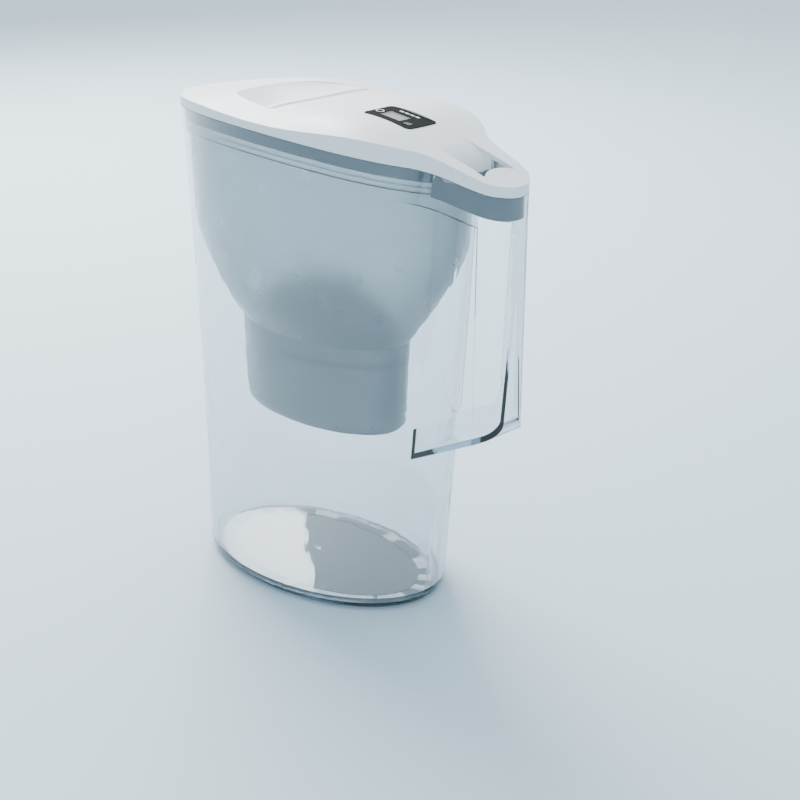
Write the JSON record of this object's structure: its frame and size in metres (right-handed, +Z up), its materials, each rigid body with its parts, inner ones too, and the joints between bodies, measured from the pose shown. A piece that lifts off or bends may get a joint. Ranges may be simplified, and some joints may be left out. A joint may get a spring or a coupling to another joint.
{
  "type": "water filter pitcher",
  "caption": "Slim water filter pitcher with a clear jug and open handle, hung hopper with filter cartridge, domed lid with a D-shaped flip lid and a change indicator.",
  "frame": {"origin": "centre of the bounding box in plan, at the bottom face the jug stands on", "axes": "+X towards the handle, -X towards the pouring nose, +Y across the narrow width, +Z up"},
  "size_m": [0.2295, 0.107, 0.2578],
  "materials": {
    "clear_jug": "clear, polished moulded plastic",
    "clear_hopper": "clear, slightly milky moulded plastic",
    "lid_white": "white, satin gloss",
    "skirt_grey": "light grey, matt",
    "pin_grey": "grey, matt",
    "cartridge_white": "off-white, matt",
    "seal_rubber": "soft grey",
    "mesh": "fine woven mesh",
    "granules": "dark carbon and resin beads",
    "bezel_black": "black, satin gloss",
    "window_clear": "clear window",
    "button_black": "black, soft",
    "lcd_glass": "grey-green display glass",
    "board_green": "green lacquered board",
    "cell_steel": "plain steel"
  },
  "bodies": {
    "jug_body": {"jug": "clear_jug"},
    "hopper_body": {"hopper": "clear_hopper"},
    "cartridge_body": {"cartridge_shell": "cartridge_white", "seal_ring": "seal_rubber", "outlet_mesh": "mesh", "granule_bed": "granules", "inlet_mesh": "mesh", "cartridge_cap": "cartridge_white"},
    "ring_body": {"pull_ring": "cartridge_white"},
    "lid_body": {"lid_shell": "lid_white", "lid_skirt": "skirt_grey", "hinge_pins": "pin_grey", "indicator_bezel": "bezel_black", "indicator_window": "window_clear", "indicator_cup": "bezel_black", "lcd_panel": "lcd_glass", "circuit_board": "board_green", "coin_cell": "cell_steel", "cell_contact": "cell_steel"},
    "flap_body": {"flip_lid": "lid_white"},
    "button_body": {"start_button": "button_black"}
  },
  "joints": [
    {"name": "hopper_lift", "type": "slide", "parent": "jug_body", "child": "hopper_body", "axis": [0, 0, 1], "range_m": [0, 0.16]},
    {"name": "lid_lift", "type": "slide", "parent": "hopper_body", "child": "lid_body", "axis": [0, 0, 1], "range_m": [0, 0.06]},
    {"name": "cartridge_lift", "type": "slide", "parent": "hopper_body", "child": "cartridge_body", "axis": [0, 0, 1], "range_m": [0, 0.07]},
    {"name": "pull_ring_hinge", "type": "hinge", "parent": "cartridge_body", "child": "ring_body", "pos_m": [-0.0026, 0, 0.1627], "axis": [0, 1, 0], "range_deg": [0, 85]},
    {"name": "flip_lid_hinge", "type": "hinge", "parent": "lid_body", "child": "flap_body", "pos_m": [-0.0205, 0, 0.25429], "axis": [0, 1, 0], "range_deg": [0, 80]},
    {"name": "start_button_press", "type": "slide", "parent": "lid_body", "child": "button_body", "axis": [-0.1249, 0, -0.9922], "range_m": [0, 0.0006], "stiffness_N_per_m": 250}
  ]
}
